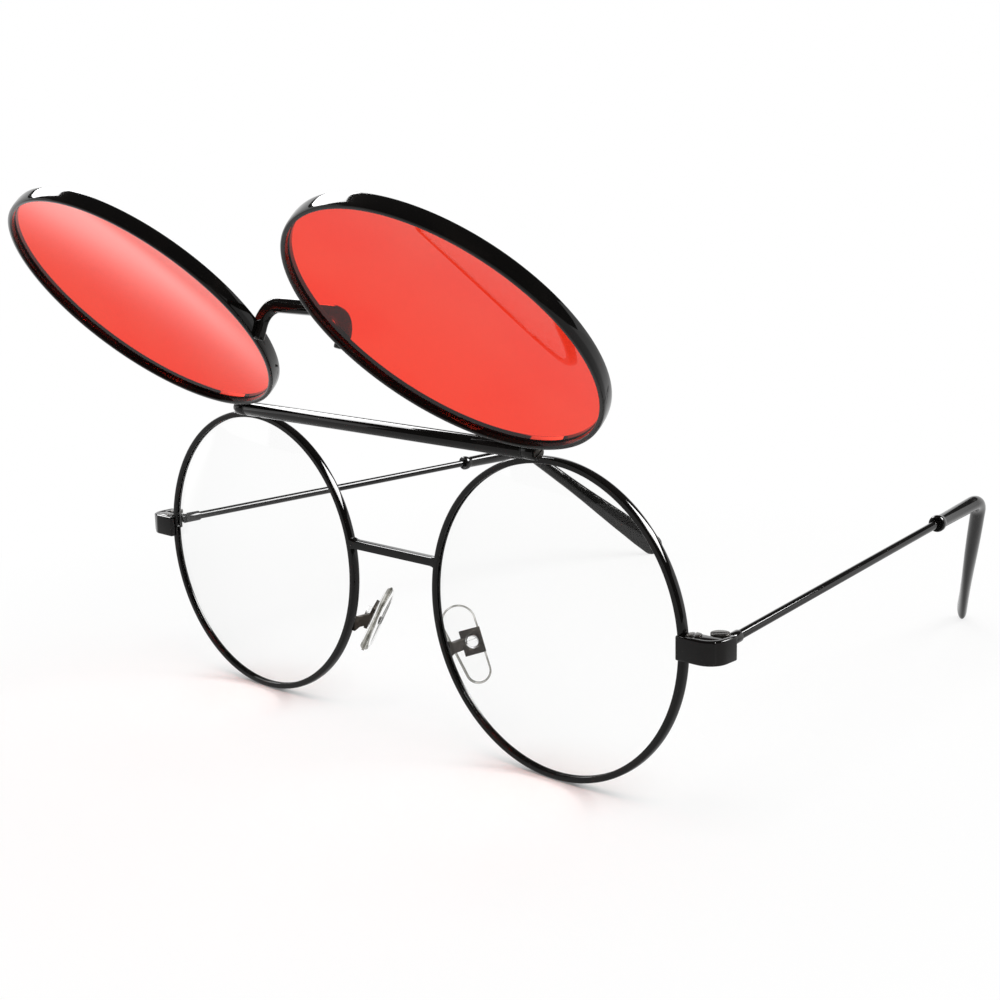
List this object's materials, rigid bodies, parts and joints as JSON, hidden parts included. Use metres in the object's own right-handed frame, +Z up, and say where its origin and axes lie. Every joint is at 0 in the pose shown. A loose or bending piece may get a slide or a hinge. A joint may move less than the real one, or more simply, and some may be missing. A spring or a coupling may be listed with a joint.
{
  "type": "flip up sunglasses",
  "caption": "Round wire-rim glasses with clear lenses and a red tinted front that flips up on a tube hinge; thin temples with bent sleeve tips fold on screw hinges, clear nose pads swivel.",
  "frame": {"origin": "centre of the footprint, on the surface that the rims and the temple tips stand on", "axes": "+X to the viewer's right, -Y out of the front of the lenses, +Y back along the temples, +Z up"},
  "size_m": [0.1304, 0.1598, 0.0897],
  "materials": {
    "frame": "gloss black enamel",
    "pad_arm": "satin dark plating",
    "screw": "blackened steel",
    "washer": "matte nylon",
    "temple_tip": "gloss black",
    "nose_pad": "clear soft plastic",
    "clear_lens": "clear polished",
    "red_lens": "red transparent polished"
  },
  "bodies": {
    "front": {"left_bar_saddle": "frame", "left_clear_lens": "clear_lens", "left_endpiece": "frame", "left_front_hinge": "frame", "left_hinge_screw": "screw", "left_lower_closing_block": "frame", "left_pad_arm": "pad_arm", "left_pivot_screw": "screw", "left_pivot_washer": "washer", "left_rim": "frame", "left_rim_screw": "screw", "left_upper_closing_block": "frame", "nose_bridge": "frame", "right_bar_saddle": "frame", "right_clear_lens": "clear_lens", "right_endpiece": "frame", "right_front_hinge": "frame", "right_hinge_screw": "screw", "right_lower_closing_block": "frame", "right_pad_arm": "pad_arm", "right_pivot_screw": "screw", "right_pivot_washer": "washer", "right_rim": "frame", "right_rim_screw": "screw", "right_upper_closing_block": "frame", "top_bar": "frame"},
    "flip_front": {"flip_bridge": "frame", "left_flip_knuckle": "frame", "left_flip_rim": "frame", "left_red_lens": "red_lens", "right_flip_knuckle": "frame", "right_flip_rim": "frame", "right_red_lens": "red_lens"},
    "right_temple": {"right_temple_hinge": "frame", "right_temple_tip": "temple_tip", "right_temple_wire": "frame"},
    "left_temple": {"left_temple_hinge": "frame", "left_temple_tip": "temple_tip", "left_temple_wire": "frame"},
    "right_pad": {"right_nose_pad": "nose_pad"},
    "left_pad": {"left_nose_pad": "nose_pad"}
  },
  "joints": [
    {"name": "flip_hinge", "type": "hinge", "parent": "front", "child": "flip_front", "pos_m": [0, -0.04365, 0.0511], "axis": [-1, 0, 0], "range_deg": [-136.5, 24]},
    {"name": "right_temple_fold", "type": "hinge", "parent": "front", "child": "right_temple", "pos_m": [0.0627, -0.03765, 0.026], "axis": [0, 0, 1], "range_deg": [0, 77]},
    {"name": "left_temple_fold", "type": "hinge", "parent": "front", "child": "left_temple", "pos_m": [-0.0627, -0.03765, 0.026], "axis": [0, 0, -1], "range_deg": [0, 77]},
    {"name": "right_pad_swivel", "type": "hinge", "parent": "front", "child": "right_pad", "pos_m": [0.01121, -0.03425, 0.0155], "axis": [-0.7158, 0.5376, -0.4456], "range_deg": [-8, 8]},
    {"name": "left_pad_swivel", "type": "hinge", "parent": "front", "child": "left_pad", "pos_m": [-0.01121, -0.03425, 0.0155], "axis": [0.7158, 0.5376, -0.4456], "range_deg": [-8, 8]}
  ]
}
